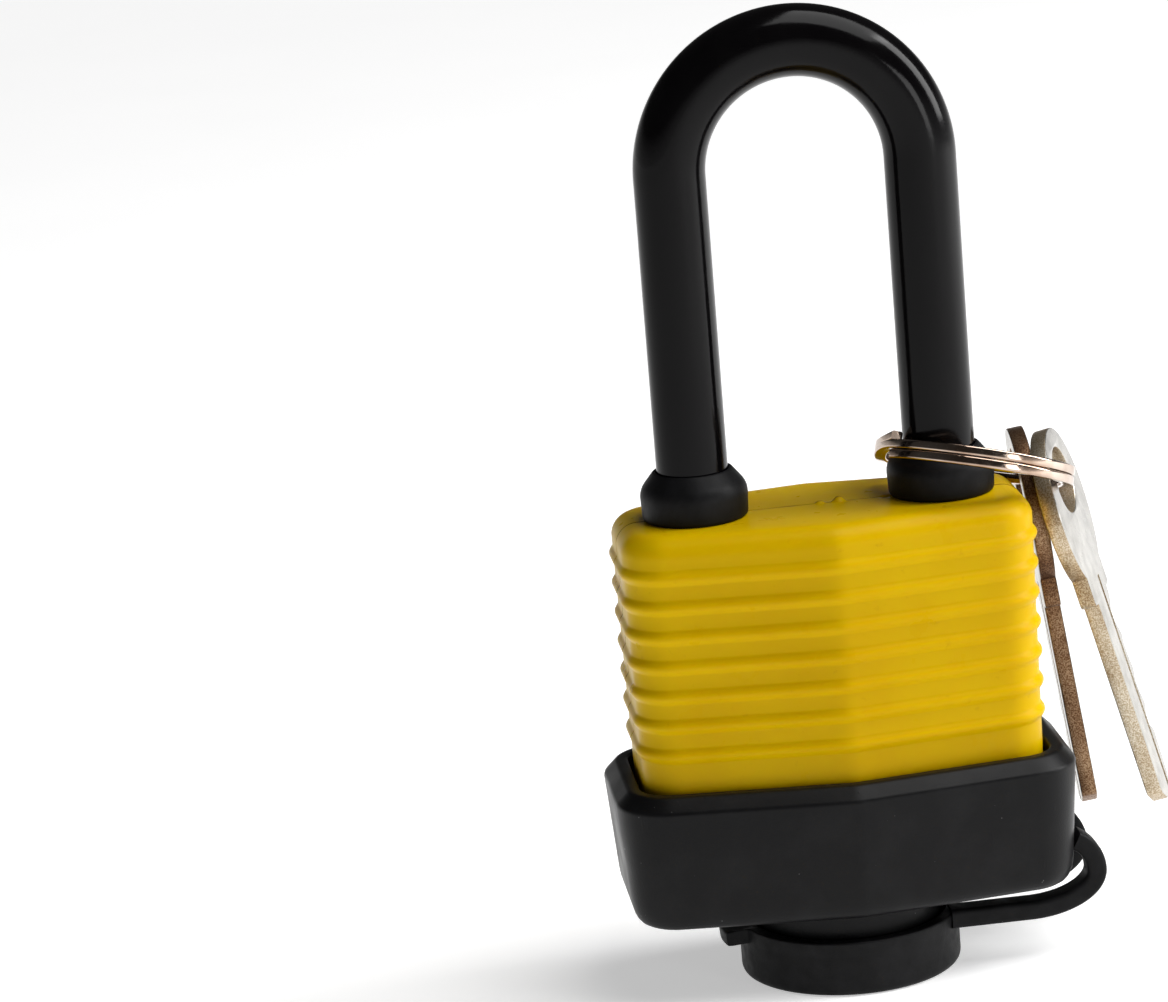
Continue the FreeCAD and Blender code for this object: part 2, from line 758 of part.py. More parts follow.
def plug_clip():
    """The ring that stops the plug from coming out of its bore."""
    low = cylinder_top() + "+0.1"
    body = cylinder("clip_disc", "clip_radius", low + "+0.35", low + "+1.35")
    cut("plug_clip", body, cylinder("clip_hole", "tail_radius+0.05", low, low + "+3"))


def plug_tail():
    """The spindle from the plug up to the dogs, with a disc and two drive pins on top."""
    low = cylinder_top() + "+0.4"
    disc = "dog_low-0.3"
    high = "dog_low+dog_thick"
    across = f"drive_radius*{DIAGONAL}"
    pins = [
        cylinder("drive_pin_right", "drive_pin", disc + "-0.5", high, across, across),
        cylinder("drive_pin_left", "drive_pin", disc + "-0.5", high, f"-({across})", f"-({across})"),
    ]
    made = joined("plug_tail", [cylinder("tail_spindle", "tail_radius", low, disc), *pins])
    made.Placement = Placement(Vector(0, 0, 0), QUARTER)


# ---- locking dogs --------------------

def locking_dog(name, sign):
    """A flat bolt, drawn in: a tip, a lug for the spring, and a tongue notched for one drive pin."""
    body = new_body(name)
    outline = sketch_on(body, name + "_outline", "XY_Plane", "dog_low")
    notch = "drive_pin+0.22"
    middle = f"drive_radius*{DIAGONAL}"
    deep = "drive_radius+drive_pin+0.3"
    tongue = [
        ("dog_inner", "tongue_wide"),
        ("-tongue_reach", "tongue_wide"),
        ("-tongue_reach", "0.3"),
        (f"{middle}-({notch})", "0.3"),
        (f"{middle}-({notch})", deep),
        (f"{middle}+{notch}", deep),
        (f"{middle}+{notch}", "0.3"),
        ("dog_inner", "0.3"),
    ]
    if sign == "-":
        tongue = [(along, f"-({across})") for along, across in reversed(tongue)]
    corners = [
        ("dog_outer", "-2.6"),
        ("dog_outer", "2.6"),
        ("dog_outer-2.4", "dog_half"),
        ("dog_outer-2.4", "dog_spring_back+1.1"),
        ("dog_inner", "dog_spring_back+1.1"),
        *tongue,
        ("dog_inner", "-dog_half"),
        ("dog_outer-2.4", "-dog_half"),
    ]
    if sign == "-":
        corners = [(f"-({along})", across) for along, across in reversed(corners)]
    polygon(outline, corners)
    pad(body, outline, "dog_thick")
    bind(body, Placement__Base__x=f"{THROW}" if sign == "-" else f"-({THROW})")


# ---- key ring and keys --------------------

def ring_frame():
    """The ring's placement: its centre, with its plane falling to the right and to the back."""
    normal = Vector(size("ring_fall_x"), size("ring_fall_y"), 1)
    centre = Vector(size("ring_x"), size("ring_y"), size("ring_z"))
    return Placement(centre, Rotation(Vector(0, 0, 1), normal))


def key_ring():
    """Two turns of flat wire, pressed together."""
    body = new_body("key_ring")
    section = sketch_on(body, "ring_section", "XZ_Plane")
    inner, outer = "ring_radius-ring_band/2", "ring_radius+ring_band/2"
    half, ease = "ring_stack/2", "0.25"
    polygon(section, [
        (inner, f"-({half}-{ease})"),
        (f"{inner}+{ease}", f"-({half})"),
        (f"{outer}-{ease}", f"-({half})"),
        (outer, f"-({half}-{ease})"),
        (outer, f"-{ease}/2"),
        (f"{outer}-{ease}/2", "0"),
        (outer, f"{ease}/2"),
        (outer, f"{half}-{ease}"),
        (f"{outer}-{ease}", half),
        (f"{inner}+{ease}", half),
        (inner, f"{half}-{ease}"),
    ])
    turn = body.newObject("PartDesign::Revolution", "ring_turn")
    turn.Profile = section
    turn.ReferenceAxis = (section, ["V_Axis"])
    turn.Angle = 360
    body.Tip = turn
    body.Placement = ring_frame()
    doc.recompute()


KEYS = {
    # where each key hangs: its plane's distance to the right, its width's direction, and its lean
    "key_a": {"x": 27.2, "azimuth": 71, "lean": 15},
    "key_b": {"x": 24.5, "azimuth": 85, "lean": 7.5},
}


def key_spot(name):
    """The middle of the wire where the key's plane crosses the ring's rear half."""
    right = KEYS[name]["x"] - size("ring_x")
    back = math.sqrt(size("ring_radius") ** 2 - right ** 2)
    drop = -size("ring_fall_x") * right - size("ring_fall_y") * back
    return Vector(size("ring_x") + right, size("ring_y") + back, size("ring_z") + drop)


def key(name):
    """A flat key: bow with an oval hole, neck, shoulder and a blade cut for the four pins."""
    body = new_body(name)
    outline = sketch_on(body, name + "_bow", "XY_Plane", "-key_thick/2")
    circle(outline, "bow_radius", "0", "-bow_radius")
    pad(body, outline, "key_thick")
    shank = sketch_on(body, name + "_blade", "XY_Plane", "-key_thick/2")
    levels = [-22.6 - i * size("pin_pitch") for i in range(PIN_COUNT)]
    cuts = [1.1, 0.2, 0.65, 1.1]
    corners = [
        ("-blade_half-1.7", "-bow_radius-5"),
        ("-blade_half-1.7", "-2*bow_radius-1.6"),
        ("-blade_half", "-2*bow_radius-1.6"),
        ("-blade_half", "-key_length+1.6"),
        ("-blade_half+2.4", "-key_length"),
        ("blade_half-1.4", "-key_length"),
    ]
    for level, depth in reversed(list(zip(levels, cuts))):
        inset = f"blade_half-0.9-{depth}"
        corners.append(("blade_half-0.5", f"{level - 1.6}"))
        corners.append((inset, f"{level - 0.5}"))
        corners.append((inset, f"{level + 0.5}"))
    corners += [
        ("blade_half", f"{levels[0] + 2.2}"),
        ("blade_half", "-2*bow_radius-1.6"),
        ("blade_half+1.7", "-2*bow_radius-1.6"),
        ("blade_half+1.7", "-bow_radius-5"),
    ]
    polygon(shank, corners)
    pad(body, shank, "key_thick")
    slot = sketch_on(body, name + "_hole", "XY_Plane", "key_thick/2")
    wide, high = size("key_hole_wide") / 2, size("key_hole_high") / 2
    middle = Vector(0, -size("key_hole_drop"), 0)
    slot.addGeometry(Part.Ellipse(middle + Vector(wide, 0, 0), middle + Vector(0, high, 0), middle), False)
    pocket(body, slot, "key_thick")
    body.Placement = key_frame(name)
    doc.recompute()


def key_frame(name):
    """Key's own Y is up its length, X across its width; the wire sits at the top of the hole."""
    azimuth = math.radians(KEYS[name]["azimuth"])
    lean = math.radians(KEYS[name]["lean"])
    across = Vector(math.cos(azimuth), math.sin(azimuth), 0)
    outward = Vector(math.sin(azimuth), -math.cos(azimuth), 0)
    upward = Vector(0, 0, math.cos(lean)) - outward * math.sin(lean)
    turn = Rotation(across, upward, across.cross(upward), "XYZ")
    wire_drop = size("key_hole_drop-key_hole_high/2+ring_stack/2+2.15")
    return Placement(key_spot(name) + upward * wire_drop, turn)


# ---- the whole padlock --------------------

jacket_shells()
base_cover()
keyhole_cap()
cap_strap()
shackle()
shackle_sleeve()
collars()
plate_stack()
rivets()
heel_pin()
shackle_spring()
dog_spring()
cylinder_housing()
pin_cover()
driver_pins()
pin_springs()
plug()
key_pins()
plug_clip()
plug_tail()
locking_dog("locking_dog_right", "")
locking_dog("locking_dog_left", "-")
key_ring()
for key_name in KEYS:
    key(key_name)
doc.recompute()

NODES = [
    "shell_front", "shell_rear", "base_cover", "keyhole_cap", "cap_strap", "shackle", "shackle_sleeve",
    "collar_left", "collar_right", "bottom_plate", "lower_plates", "cylinder_plates", "tail_plates",
    "toe_plates", "latch_plates", "pin_plates", "top_plate", "rivets", "heel_pin", "shackle_spring",
    "dog_spring", "cylinder_housing", "pin_cover", "driver_pins", "pin_springs", "plug", "key_pins",
    "plug_clip", "plug_tail", "locking_dog_right", "locking_dog_left", "key_ring", "key_a", "key_b",
]

for thing in doc.Objects:
    if "Invalid" in thing.State or "Error" in thing.State:
        raise RuntimeError(f"{thing.Name} failed: {thing.State}")
os.makedirs("parts", exist_ok=True)
for node in NODES:
    piece = doc.getObject(node)
    piece.Label = node
    if piece.Shape.isNull() or not piece.Shape.isValid() or piece.Shape.Volume <= 0:
        raise RuntimeError(f"{node} has no valid shape")
    box = piece.Shape.BoundBox
    print(f"{node:20s} {len(piece.Shape.Solids):2d} solids, {piece.Shape.Volume:9.1f} mm3,"
          f" z {box.ZMin:7.2f} to {box.ZMax:7.2f}")
    piece.Shape.exportStep(f"parts/{node}.step")
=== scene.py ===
import math
import bmesh
import bpy
import numpy as np
from mathutils import Matrix, Vector


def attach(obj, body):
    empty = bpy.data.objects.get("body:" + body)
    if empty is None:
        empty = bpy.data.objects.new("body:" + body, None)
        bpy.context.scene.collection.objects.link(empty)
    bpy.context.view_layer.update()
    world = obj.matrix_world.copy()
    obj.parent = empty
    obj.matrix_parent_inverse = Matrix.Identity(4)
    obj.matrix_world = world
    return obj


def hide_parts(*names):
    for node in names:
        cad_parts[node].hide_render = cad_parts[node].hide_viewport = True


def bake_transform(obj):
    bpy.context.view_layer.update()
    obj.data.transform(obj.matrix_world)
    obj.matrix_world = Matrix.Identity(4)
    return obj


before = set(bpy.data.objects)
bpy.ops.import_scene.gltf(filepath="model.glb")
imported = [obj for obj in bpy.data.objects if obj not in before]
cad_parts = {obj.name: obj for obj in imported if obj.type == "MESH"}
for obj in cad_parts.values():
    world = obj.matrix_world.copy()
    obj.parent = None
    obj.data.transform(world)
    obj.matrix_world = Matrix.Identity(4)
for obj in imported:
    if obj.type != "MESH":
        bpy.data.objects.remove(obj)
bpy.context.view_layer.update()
mm = 0.001
print("frame loaded:", len(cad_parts), "nodes")

# the camera stands a little above and to the left of the lock
cameraView = {
    "place": (-66.6004, -475.3504, 169.0726),   # mm
    "yaw": 0.0861327, "pitch": 0.2337449, "roll": -0.0839058,   # radians
    "lens": 139.7, "sensor": 36.0,
}


# the lens looks along a heading turned right by yaw and down by pitch, then the view is rolled about it
def makeCamera(view):
    yaw, pitch, roll = view["yaw"], view["pitch"], view["roll"]
    ahead = np.array([math.sin(yaw) * math.cos(pitch), math.cos(yaw) * math.cos(pitch), -math.sin(pitch)])
    level = np.array([math.cos(yaw), -math.sin(yaw), 0.0])
    above = np.cross(level, ahead)
    right = math.cos(roll) * level + math.sin(roll) * above
    top = -math.sin(roll) * level + math.cos(roll) * above
    data = bpy.data.cameras.new("studioCamera")
    data.lens = view["lens"]
    data.sensor_width = view["sensor"]
    data.clip_start, data.clip_end = 0.05, 50
    camera = bpy.data.objects.new("studioCamera", data)
    turn = np.eye(4)
    turn[:3, 0], turn[:3, 1], turn[:3, 2] = right, top, -ahead
    turn[:3, 3] = np.array(view["place"]) * mm
    camera.matrix_world = Matrix(turn.tolist())
    bpy.context.scene.collection.objects.link(camera)
    bpy.context.scene.camera = camera


makeCamera(cameraView)
bpy.context.scene.view_settings.view_transform = "Standard"


# an sRGB hex colour as linear red, green, blue and alpha
def linear(code):
    parts = np.array([int(code[i:i + 2], 16) for i in (1, 3, 5)]) / 255
    parts = np.where(parts <= 0.04045, parts / 12.92, ((parts + 0.055) / 1.055) ** 2.4)
    return (*parts.tolist(), 1.0)


# adds one node: settings are its properties, inputs its sockets by name or number; a socket is linked
def addNode(tree, kind, inputs=None, **settings):
    made = tree.nodes.new("ShaderNode" + kind)
    for name, value in settings.items():
        setattr(made, name, value)
    for key, value in (inputs or {}).items():
        if isinstance(value, bpy.types.NodeSocket):
            tree.links.new(value, made.inputs[key])
        else:
            made.inputs[key].default_value = value
    return made


# a new material with its shader and the object's own coordinates
def startMaterial(name):
    material = bpy.data.materials.new(name)
    material.use_nodes = True
    tree = material.node_tree
    shader = tree.nodes["Principled BSDF"]
    place = tree.nodes.new("ShaderNodeTexCoord").outputs["Object"]
    return material, tree, shader, place


# noise whose grains are about the given size in millimetres
def grain(tree, place, size, detail=2.0, stretch=(1, 1, 1), turn=(0, 0, 0)):
    spot = place
    if stretch != (1, 1, 1) or turn != (0, 0, 0):
        spot = addNode(tree, "Mapping", {0: place, "Scale": stretch, "Rotation": turn}).outputs[0]
    made = addNode(tree, "TexNoise", {"Vector": spot, "Scale": 1 / (size * mm), "Detail": detail})
    return made.outputs["Fac"]


# stretches a value between two levels onto the range from low to high
def between(tree, value, start, end, low, high):
    made = addNode(tree, "MapRange", {"Value": value, "From Min": start, "From Max": end,
                                      "To Min": low, "To Max": high})
    return made.outputs["Result"]


# two colours mixed by a share from 0 to 1
def mixed(tree, share, first, second):
    made = addNode(tree, "Mix", {0: share, 6: first, 7: second}, data_type="RGBA")
    return made.outputs[2]


# bump from a height, as deep as the given millimetres, over an earlier bump if there is one
def bumped(tree, shader, height, depth, strength=1.0, under=None):
    inputs = {"Height": height, "Distance": depth * mm, "Strength": strength}
    if under:
        inputs["Normal"] = under
    made = addNode(tree, "Bump", inputs)
    tree.links.new(made.outputs[0], shader.inputs["Normal"])
    return made.outputs[0]


# ABS, injection moulded in a polished tool: even colour, a soft gloss, the faintest orange peel
def yellowAbs():
    material, tree, shader, place = startMaterial("mouldedAbsYellow")
    cloud = between(tree, grain(tree, place, 14), 0.3, 0.7, 0, 1)
    colour = mixed(tree, cloud, linear("#c89f00"), linear("#d0ab00"))
    dust = between(tree, grain(tree, place, 1.1, 5), 0.66, 0.78, 0, 0.22)   # handling grime in specks
    colour = mixed(tree, dust, colour, linear("#a37a10"))
    axes = addNode(tree, "SeparateXYZ", {0: place}).outputs
    off = addNode(tree, "Math", {0: axes["Y"]}, operation="ABSOLUTE").outputs[0]
    patchy = between(tree, grain(tree, place, 5, 2), 0.4, 0.6, 0.35, 0.85)
    seam = between(tree, off, 0.14 * mm, 0.26 * mm, patchy, 0)   # darker in patchy stretches along the seam line
    colour = mixed(tree, seam, colour, linear("#7d5c0c"))
    tree.links.new(colour, shader.inputs["Base Color"])
    sheen = between(tree, grain(tree, place, 3.5, 4), 0.3, 0.7, 0.26, 0.38)
    tree.links.new(sheen, shader.inputs["Roughness"])
    shader.inputs["IOR"].default_value = 1.53
    shader.inputs["Specular IOR Level"].default_value = 0.05   # a satin skin with little mirror shine
    shader.inputs["Subsurface Weight"].default_value = 0.3
    shader.inputs["Subsurface Radius"].default_value = (1.2 * mm, 0.6 * mm, 0.1 * mm)
    shader.inputs["Subsurface Scale"].default_value = 1.0
    peel = bumped(tree, shader, grain(tree, place, 0.8, 3), 0.012)
    bumped(tree, shader, grain(tree, place, 12, 1), 0.05, 0.5, peel)
    return material


# polypropylene, moulded in a spark-eroded tool: dark, satin, with pale rubbed specks and short scuffs
def blackPolypropylene():
    material, tree, shader, place = startMaterial("mouldedPolypropyleneBlack")
    rubbed = between(tree, grain(tree, place, 5, 6), 0.45, 0.75, 0, 0.4)
    colour = mixed(tree, rubbed, linear("#0f0f10"), linear("#1f1f20"))
    specks = between(tree, grain(tree, place, 0.55, 1), 0.80, 0.83, 0, 0.55)
    colour = mixed(tree, specks, colour, linear("#8a8a8a"))
    tree.links.new(colour, shader.inputs["Base Color"])
    sheen = between(tree, grain(tree, place, 6, 5), 0.3, 0.7, 0.3, 0.44)
    tree.links.new(sheen, shader.inputs["Roughness"])
    shader.inputs["IOR"].default_value = 1.49
    shader.inputs["Specular IOR Level"].default_value = 0.13
    fine = bumped(tree, shader, grain(tree, place, 0.25, 2), 0.012)
    scuffs = grain(tree, place, 0.5, 2, (1, 1, 0.12), (0.5, 0.7, 0.2))
    fine = bumped(tree, shader, between(tree, scuffs, 0.68, 0.76, 0, 1), 0.02, 0.6, fine)
    bumped(tree, shader, grain(tree, place, 16, 1), 0.12, 0.6, fine)
    return material


# rubber-like elastomer, moulded: softer and duller than the cover, finely dusty
def blackElastomer():
    material, tree, shader, place = startMaterial("mouldedElastomerBlack")
    dusty = between(tree, grain(tree, place, 2.2, 6), 0.42, 0.75, 0, 0.5)
    colour = mixed(tree, dusty, linear("#0c0c0d"), linear("#1b1b1d"))
    tree.links.new(colour, shader.inputs["Base Color"])
    sheen = between(tree, grain(tree, place, 1.5, 4), 0.3, 0.7, 0.42, 0.58)
    tree.links.new(sheen, shader.inputs["Roughness"])
    shader.inputs["IOR"].default_value = 1.5
    shader.inputs["Specular IOR Level"].default_value = 0.13
    fine = bumped(tree, shader, grain(tree, place, 0.22, 3), 0.014)
    bumped(tree, shader, grain(tree, place, 3, 2), 0.05, 0.6, fine)
    return material


# plasticised vinyl tube, extruded and pulled over the steel: deep black, glossy, slightly wavy
def blackVinyl():
    material, tree, shader, place = startMaterial("extrudedVinylBlack")
    smear = between(tree, grain(tree, place, 4, 5, (1, 1, 0.35)), 0.4, 0.75, 0, 0.3)
    colour = mixed(tree, smear, linear("#060506"), linear("#101010"))
    tree.links.new(colour, shader.inputs["Base Color"])
    sheen = between(tree, grain(tree, place, 5, 5, (1, 1, 0.3)), 0.3, 0.7, 0.09, 0.17)
    tree.links.new(sheen, shader.inputs["Roughness"])
    shader.inputs["IOR"].default_value = 1.52
    shader.inputs["Specular IOR Level"].default_value = 0.12
    fine = bumped(tree, shader, grain(tree, place, 0.5, 4), 0.006)
    bumped(tree, shader, grain(tree, place, 7, 1, (1, 1, 0.4)), 0.12, 0.6, fine)
    return material


# a metal finish: two tones in clouds, fine marks along one way, and its range of roughness
def plainMetal(name, tones, roughness, size, stretch, depth):
    material, tree, shader, place = startMaterial(name)
    cloud = between(tree, grain(tree, place, size * 8, 4), 0.35, 0.65, 0, 1)
    tree.links.new(mixed(tree, cloud, linear(tones[0]), linear(tones[1])), shader.inputs["Base Color"])
    marks = grain(tree, place, size, 3, stretch)
    tree.links.new(between(tree, marks, 0.3, 0.7, *roughness), shader.inputs["Roughness"])
    shader.inputs["Metallic"].default_value = 1.0
    bumped(tree, shader, marks, depth)
    return material


# brass key blank, sheared and milled after plating: bronze speckle with worn bright spots.
# Shear marks are too fine to show, so the speckle is drawn as coarse as 0.16 mm
def milledKeyEdge(name, darkTones, lightTones):
    material, tree, shader, place = startMaterial(name)
    speckle = grain(tree, place, 0.16, 3)
    patch = between(tree, grain(tree, place, 9, 2), 0.4, 0.6, 0, 1)
    dark = mixed(tree, patch, linear(darkTones[0]), linear(darkTones[1]))
    light = mixed(tree, patch, linear(lightTones[0]), linear(lightTones[1]))
    bright = between(tree, speckle, 0.4, 0.62, 0, 1)
    tree.links.new(mixed(tree, bright, dark, light), shader.inputs["Base Color"])
    tree.links.new(between(tree, speckle, 0.3, 0.7, 0.5, 0.28), shader.inputs["Roughness"])
    shader.inputs["Metallic"].default_value = 0.9
    bumped(tree, shader, speckle, 0.03, 0.8)
    return material


finishes = {
    "yellow": yellowAbs(),
    "cover": blackPolypropylene(),
    "rubber": blackElastomer(),
    "vinyl": blackVinyl(),
    # nickel plate on a rolled blank: pale, satin, with faint rolling marks along the blade
    "keyFace": plainMetal("rolledNickelPlate", ("#aaa7a1", "#c4c1bb"), (0.26, 0.33), 0.3, (1, 1, 0.15),
                          0.001),
    # nickel plate on drawn flat wire: nearly a mirror, a little warm, with a few scuffs
    "ringWire": plainMetal("drawnNickelPlate", ("#a98f7c", "#cdbcae"), (0.06, 0.18), 0.5, (1, 1, 1), 0.003),
    # hardened steel bar, ground and oiled
    "shackleSteel": plainMetal("groundHardenedSteel", ("#8e8f90", "#a9a9aa"), (0.22, 0.4), 0.25,
                               (0.15, 0.15, 3), 0.004),
    # sheet steel, stamped and zinc plated: cool grey with a cloudy bloom
    "zincSteel": plainMetal("stampedZincPlate", ("#9a9c9c", "#b9bab6"), (0.3, 0.48), 0.4, (1, 1, 1), 0.006),
    # turned brass: warm, with fine turning marks
    "brass": plainMetal("turnedBrass", ("#b18a43", "#c9a35c"), (0.22, 0.36), 0.15, (0.4, 0.4, 4), 0.004),
    # spring wire, drawn: dark and lightly oiled
    "spring": plainMetal("drawnSpringWire", ("#6c6c6c", "#8a8a8a"), (0.25, 0.4), 0.2, (1, 1, 1), 0.003),
    # the milled edge as a lit and a shaded copy of one colour: the pale copy for key A, which is in the
    # light, and a darker brown copy for key B, whose brown is painted shade
    "keyEdgeLit": milledKeyEdge("milledKeyEdgeLit", ("#8a7050", "#b3a184"), ("#c0ae90", "#dcd3c2")),
    "keyEdgeShaded": milledKeyEdge("milledKeyEdgeShaded", ("#4a3020", "#6b4a30"), ("#7d5c40", "#a3896c")),
}
print("materials made:", len(finishes))


# a grid of points, rows by columns, becomes quads; either way may close on itself
def gridFaces(rows, columns, closeRows=False, closeColumns=False):
    index = np.arange(rows * columns).reshape(rows, columns)
    if closeRows:
        index = np.vstack([index, index[:1]])
    if closeColumns:
        index = np.hstack([index, index[:, :1]])
    corners = (index[:-1, :-1], index[:-1, 1:], index[1:, 1:], index[1:, :-1])
    return np.stack(corners, -1).reshape(-1, 4).tolist()


# a broken line's corners are eased: each becomes a short parabola that starts and ends at its own
# distance along the two sides; works on any number of columns at once
def easedLine(corners, reach, steps=6, closed=True):
    corners = np.array(corners, float)
    reach = np.array(reach, float)[:, None]
    before, after = np.roll(corners, 1, 0) - corners, np.roll(corners, -1, 0) - corners
    if not closed:
        reach[0], reach[-1] = 0, 0
    long = [np.maximum(np.linalg.norm(side, axis=1, keepdims=True), 1e-9) for side in (before, after)]
    start = corners + before * np.minimum(reach / long[0], 0.49)
    end = corners + after * np.minimum(reach / long[1], 0.49)
    t = np.linspace(0, 1, steps)[None, :, None]
    line = (1 - t) ** 2 * start[:, None] + 2 * t * (1 - t) * corners[:, None] + t ** 2 * end[:, None]
    return line.reshape(-1, corners.shape[1])


# a mesh from points in millimetres: doubles merged, faces outward, smooth between sharp edges
def makeMesh(name, points, faces, sharp=35, merge=0.002):
    mesh = bpy.data.meshes.new(name)
    mesh.from_pydata((np.asarray(points).reshape(-1, 3) * mm).tolist(), [], faces)
    shape = bmesh.new()
    shape.from_mesh(mesh)
    bmesh.ops.remove_doubles(shape, verts=shape.verts, dist=merge * mm)
    bmesh.ops.dissolve_degenerate(shape, edges=shape.edges, dist=merge * mm * 0.1)
    bmesh.ops.recalc_face_normals(shape, faces=shape.faces)
    shape.to_mesh(mesh)
    shape.free()
    mesh.shade_smooth()
    mesh.set_sharp_from_angle(angle=math.radians(sharp))
    return mesh


# a piece from its mesh, its material, the body it rides on and the CAD nodes it stands for
def makePiece(name, mesh, finish, body, nodes=()):
    piece = bpy.data.objects.new(name, mesh)
    bpy.context.scene.collection.objects.link(piece)
    mesh.materials.append(finishes[finish])
    if body:
        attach(piece, body)
    if nodes:
        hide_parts(*nodes)
    return piece


# cuts a tool out of a piece and keeps the result in its mesh
def carve(piece, toolMesh, sharp=35):
    tool = bpy.data.objects.new("carvingTool", toolMesh)
    bpy.context.scene.collection.objects.link(tool)
    step = piece.modifiers.new("carve", "BOOLEAN")
    step.operation, step.solver, step.object = "DIFFERENCE", "EXACT", tool
    bpy.context.view_layer.update()
    whole = piece.evaluated_get(bpy.context.evaluated_depsgraph_get())
    carved = bpy.data.meshes.new_from_object(whole)
    piece.modifiers.clear()
    piece.data = carved
    carved.shade_smooth()
    carved.set_sharp_from_angle(angle=math.radians(sharp))
    bpy.data.objects.remove(tool)


# a ring of points round Z: radius and height per row, angle per column
def revolved(profile, angles):
    radius, height = profile[:, 0, None], profile[:, 1, None]
    return np.stack([radius * np.cos(angles), radius * np.sin(angles), height + 0 * angles], -1)


# equal angles once round
def fullTurn(count):
    return np.arange(count) * 2 * np.pi / count


# upright bar used for cutting holes
def barMesh(radius, low, high, x, count=96):
    grid = revolved(np.array([(0, low), (radius, low), (radius, high), (0, high)], float), fullTurn(count))
    return makeMesh("barTool", grid + np.array([x, 0, 0]), gridFaces(4, count, closeColumns=True))


# half of a long hexagon, from +X over +Y to -X: its three corners become arcs that touch both sides.
# Gives points and outward normals; side points crowd towards the two ends, where the seam is
def halfOutline(s, ends, arcSteps, sideSteps):
    halfWidth, centreDepth, cornerDepth = s["halfWidth"], s["centreDepth"], s["cornerDepth"]
    corners = np.array([(halfWidth, 0), (halfWidth, cornerDepth), (0, centreDepth),
                        (-halfWidth, cornerDepth), (-halfWidth, 0)], float)
    ways = np.diff(corners, axis=0)
    ways /= np.linalg.norm(ways, axis=1, keepdims=True)
    outward = np.stack([ways[:, 1], -ways[:, 0]], 1)
    angles = np.unwrap(np.arctan2(outward[:, 1], outward[:, 0]))
    angles[-1] = np.pi
    points, normals = [], []
    for i, radius in enumerate((s["cornerRadius"], s["creaseRadius"], s["cornerRadius"])):
        turn = np.linspace(angles[i], angles[i + 1], arcSteps)
        normal = np.stack([np.cos(turn), np.sin(turn)], 1)
        back = radius * math.tan((angles[i + 1] - angles[i]) / 2)
        arc = corners[i + 1] - ways[i] * back - outward[i] * radius + normal * radius
        if i == 0:
            side = np.stack([0 * ends + halfWidth, ends * arc[0, 1]], 1)
        else:
            side = last + (arc[0] - last) * np.linspace(0, 1, sideSteps)[1:-1, None]
        points += [side, arc]
        normals += [np.repeat(outward[i:i + 1], len(side), 0), normal]
        last = arc[-1]
    side = np.stack([0 * ends - halfWidth, ends[::-1] * last[1]], 1)
    points.append(side)
    normals.append(np.repeat(outward[3:4], len(side), 0))
    return np.concatenate(points), np.concatenate(normals)


# two yellow shells that meet on the seam; lengths in millimetres here and below
jacket = {
    "halfWidth": 22.4, "centreDepth": 12.0, "cornerDepth": 8.7,
    "cornerRadius": 5.0, "creaseRadius": 6.0,
    "low": 11.4, "plainTop": 24.6, "top": 52.5, "edge": 2.4, "roof": 2.1, "wall": 1.9,
    "topGrow": 0.1, "draftPerMm": 0.0142,
    "ribTop": 48.18, "ribPitch": 3.313, "ribCount": 7, "ribHigh": 0.46, "ribHalf": 0.92,
    "seam": 0.16, "legX": 13.56, "legHole": 4.95,
}
# leftovers on the seam: two gate marks and the small gap beside the right collar (x, half width, height)
seamMarks = ((2.2, 0.62, 0.55), (0.1, 0.5, 0.26), (7.35, 0.42, -0.6))


# how far the skin falls in towards the seam plane: a quarter circle, from its radius at the plane to nothing
def seamFall(radius, away):
    return radius - np.sqrt(np.clip(radius ** 2 - np.clip(radius - away, 0, radius) ** 2, 0, 1))


